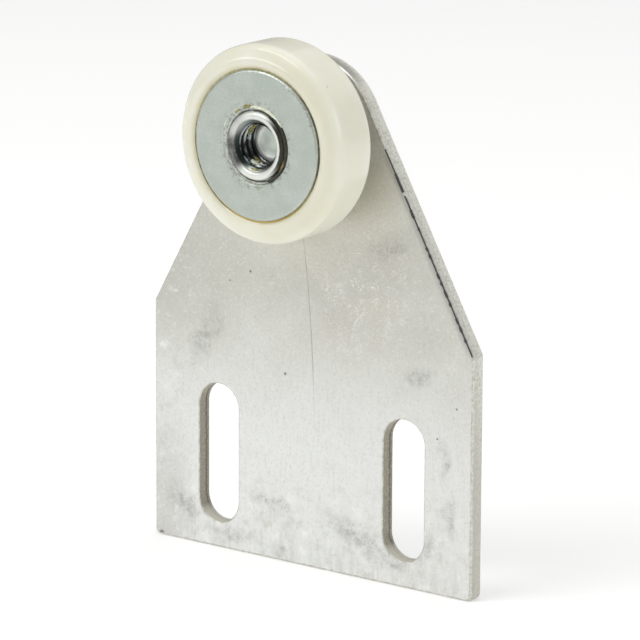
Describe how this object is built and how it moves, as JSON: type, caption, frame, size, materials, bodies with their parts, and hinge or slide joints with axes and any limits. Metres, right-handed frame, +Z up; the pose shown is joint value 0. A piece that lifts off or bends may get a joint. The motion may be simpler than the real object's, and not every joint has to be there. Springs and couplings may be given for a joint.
{
  "type": "sliding door roller",
  "caption": "Nylon wheel on a ball bearing with a threaded hub, fixed near the rounded top of a flat steel hanger plate with upright mounting slots.",
  "frame": {"origin": "on the plate's back face, the face that lies on the door, midway between the two slots", "axes": "+X across the plate, +Z up towards the wheel, +Y out of the back face towards the door, so the wheel stands off towards -Y and its axle runs along Y"},
  "size_m": [0.0762, 0.0209, 0.1049],
  "materials": {
    "plate_steel": "dull mill finish, mottled, with sheared edges",
    "stud_steel": "bright turned steel",
    "nut_zinc": "bright zinc plate",
    "hub_steel": "turned and polished, greasy in the thread",
    "shield_zinc": "satin zinc plate, faintly blue-green",
    "race_steel": "pressed steel, lightly greased",
    "ball_steel": "polished",
    "nylon": "natural nylon, cream, semi-gloss"
  },
  "bodies": {
    "bracket": {"mounting_plate": "plate_steel", "axle_stud": "stud_steel", "jam_nut": "nut_zinc", "hub": "hub_steel"},
    "wheel": {"tyre": "nylon", "outer_race_rear": "race_steel", "outer_race_front": "race_steel", "shield_rear": "shield_zinc", "shield_front": "shield_zinc"},
    "ball_ring": {"ball_01": "ball_steel", "ball_02": "ball_steel", "ball_03": "ball_steel", "ball_04": "ball_steel", "ball_05": "ball_steel", "ball_06": "ball_steel", "ball_07": "ball_steel", "ball_08": "ball_steel", "ball_09": "ball_steel", "ball_10": "ball_steel", "ball_11": "ball_steel", "ball_12": "ball_steel", "ball_13": "ball_steel"}
  },
  "joints": [
    {"name": "wheel_spin", "type": "hinge", "parent": "bracket", "child": "wheel", "pos_m": [0, -0.01493, 0.0668], "axis": [0, -1, 0], "continuous": true},
    {"name": "ball_ring_spin", "type": "hinge", "parent": "bracket", "child": "ball_ring", "pos_m": [0, -0.01493, 0.0668], "axis": [0, -1, 0], "continuous": true}
  ],
  "couplings": [
    {"joint": "ball_ring_spin", "follows": "wheel_spin", "ratio": 0.61448}
  ]
}
